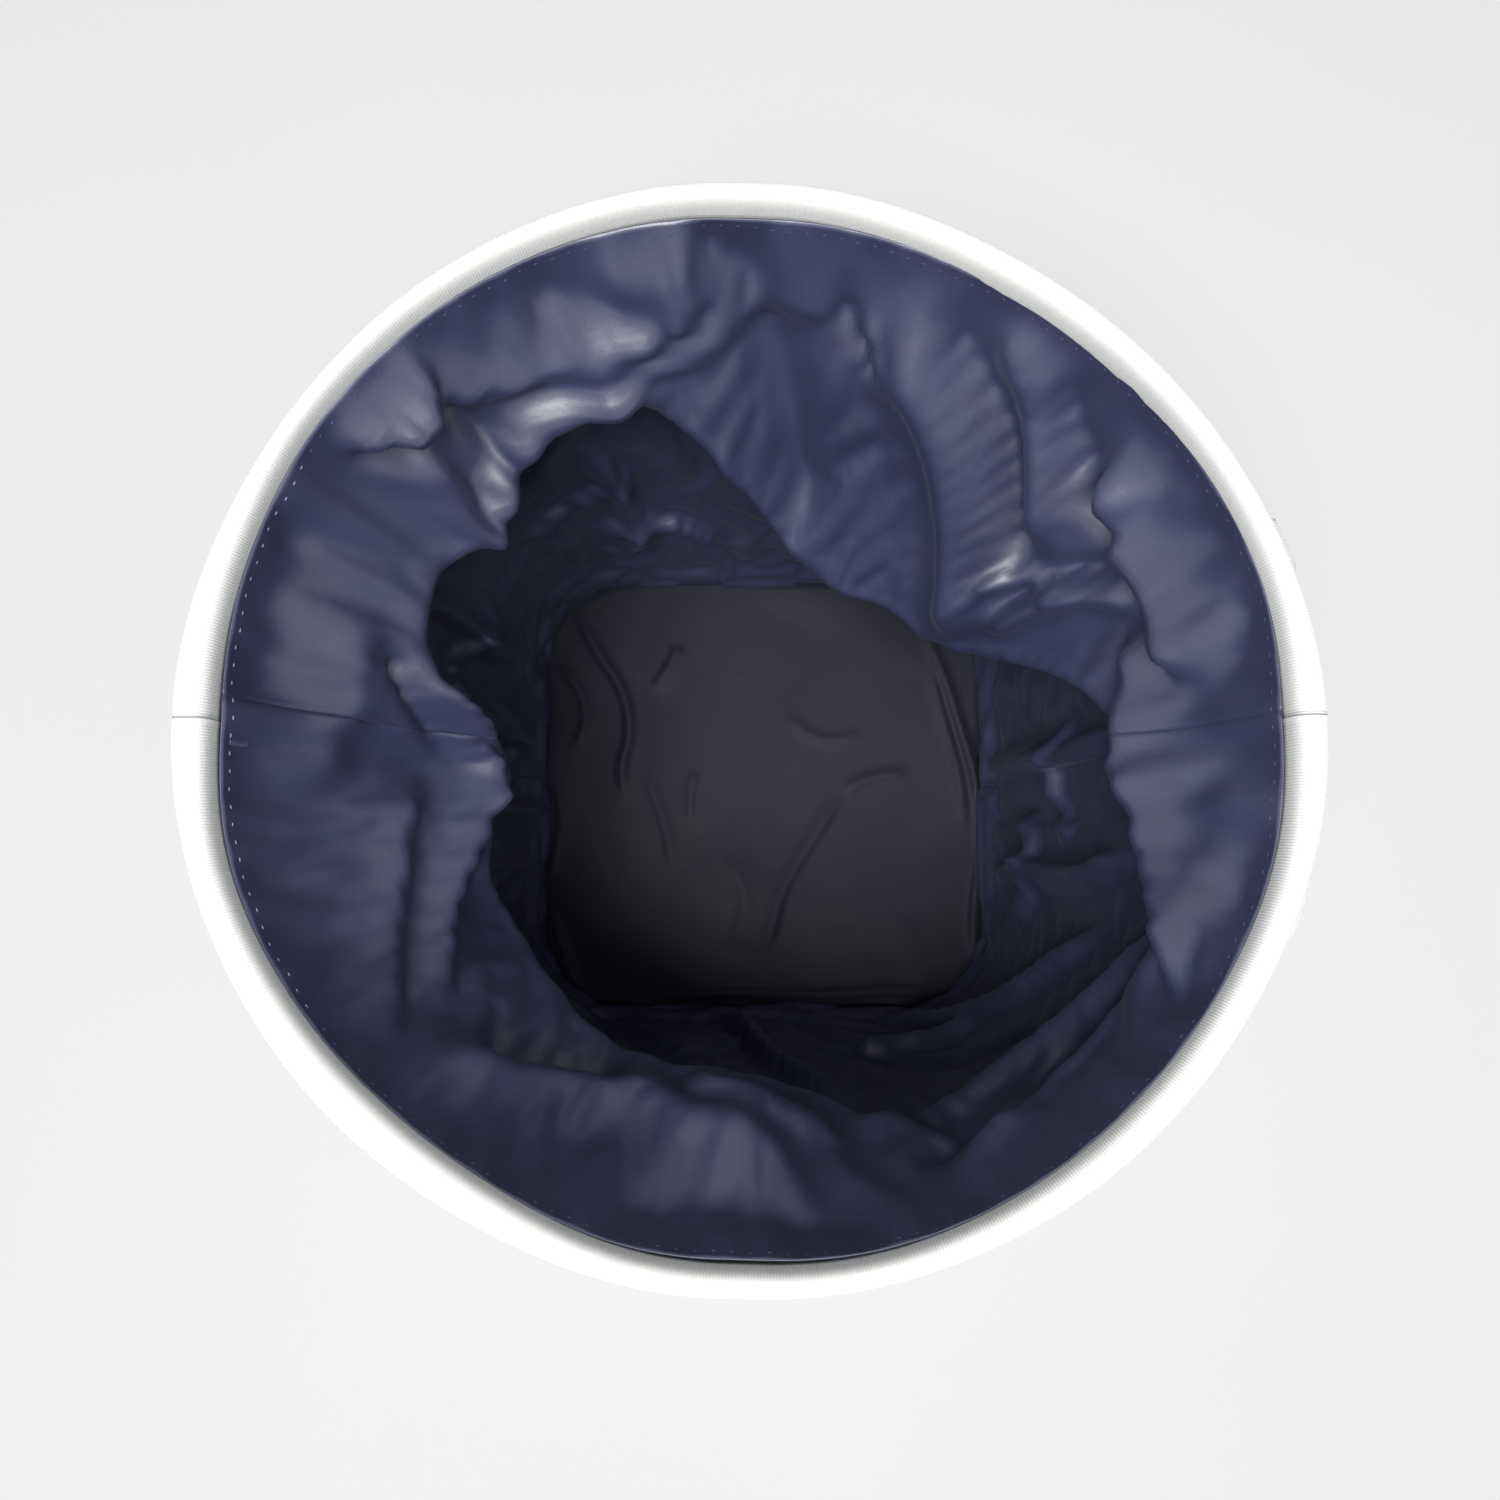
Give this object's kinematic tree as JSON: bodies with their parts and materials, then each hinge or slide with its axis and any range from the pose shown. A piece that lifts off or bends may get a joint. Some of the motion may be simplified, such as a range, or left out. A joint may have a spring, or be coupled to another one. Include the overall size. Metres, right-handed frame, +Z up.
{
  "type": "fabric storage bin",
  "caption": "Soft round-mouthed canvas storage bin on a rounded-square base, with a thick rolled rim, a loose satin lining and a hanging strap handle on each side.",
  "frame": {"origin": "centre of the underside of the base", "axes": "+Z up out of the mouth, +X along the line through the two side seams and handles, -Y towards the front"},
  "size_m": [0.3134, 0.289, 0.32],
  "materials": {
    "canvas": "fine-ribbed heavy cotton canvas, off-white",
    "lining": "navy polyester satin, slack and creased",
    "stiffener": "needled felt stiffening",
    "board": "grey-brown fibre board",
    "filler": "soft cotton filler cord",
    "thread": "polyester sewing thread, navy with pale pin-prick stitches",
    "strap": "folded canvas strap, topstitched",
    "rivet_metal": "dull nickel"
  },
  "bodies": {
    "bin": {"shell_front_panel": "canvas", "shell_back_panel": "canvas", "shell_base_panel": "canvas", "stiffener_front": "stiffener", "stiffener_back": "stiffener", "base_board": "board", "lining_front_panel": "lining", "lining_back_panel": "lining", "lining_base_panel": "lining", "rim_hem_front": "canvas", "rim_hem_back": "canvas", "rim_filler": "filler", "lining_stitch_line": "thread", "lining_bartack": "thread", "handle_left_end_front": "strap", "handle_left_end_back": "strap", "handle_left_rivets": "rivet_metal", "handle_left_rivet_backs": "rivet_metal", "handle_right_end_front": "strap", "handle_right_end_back": "strap", "handle_right_rivets": "rivet_metal", "handle_right_rivet_backs": "rivet_metal"},
    "handle_left": {"handle_left_loop": "strap"},
    "handle_right": {"handle_right_loop": "strap"}
  },
  "joints": [
    {"name": "handle_left_swing", "type": "hinge", "parent": "bin", "child": "handle_left", "pos_m": [-0.1496, 0, 0.2935], "axis": [0, 1, 0], "range_deg": [0, 155]},
    {"name": "handle_right_swing", "type": "hinge", "parent": "bin", "child": "handle_right", "pos_m": [0.1496, 0, 0.2935], "axis": [0, -1, 0], "range_deg": [0, 155]}
  ]
}
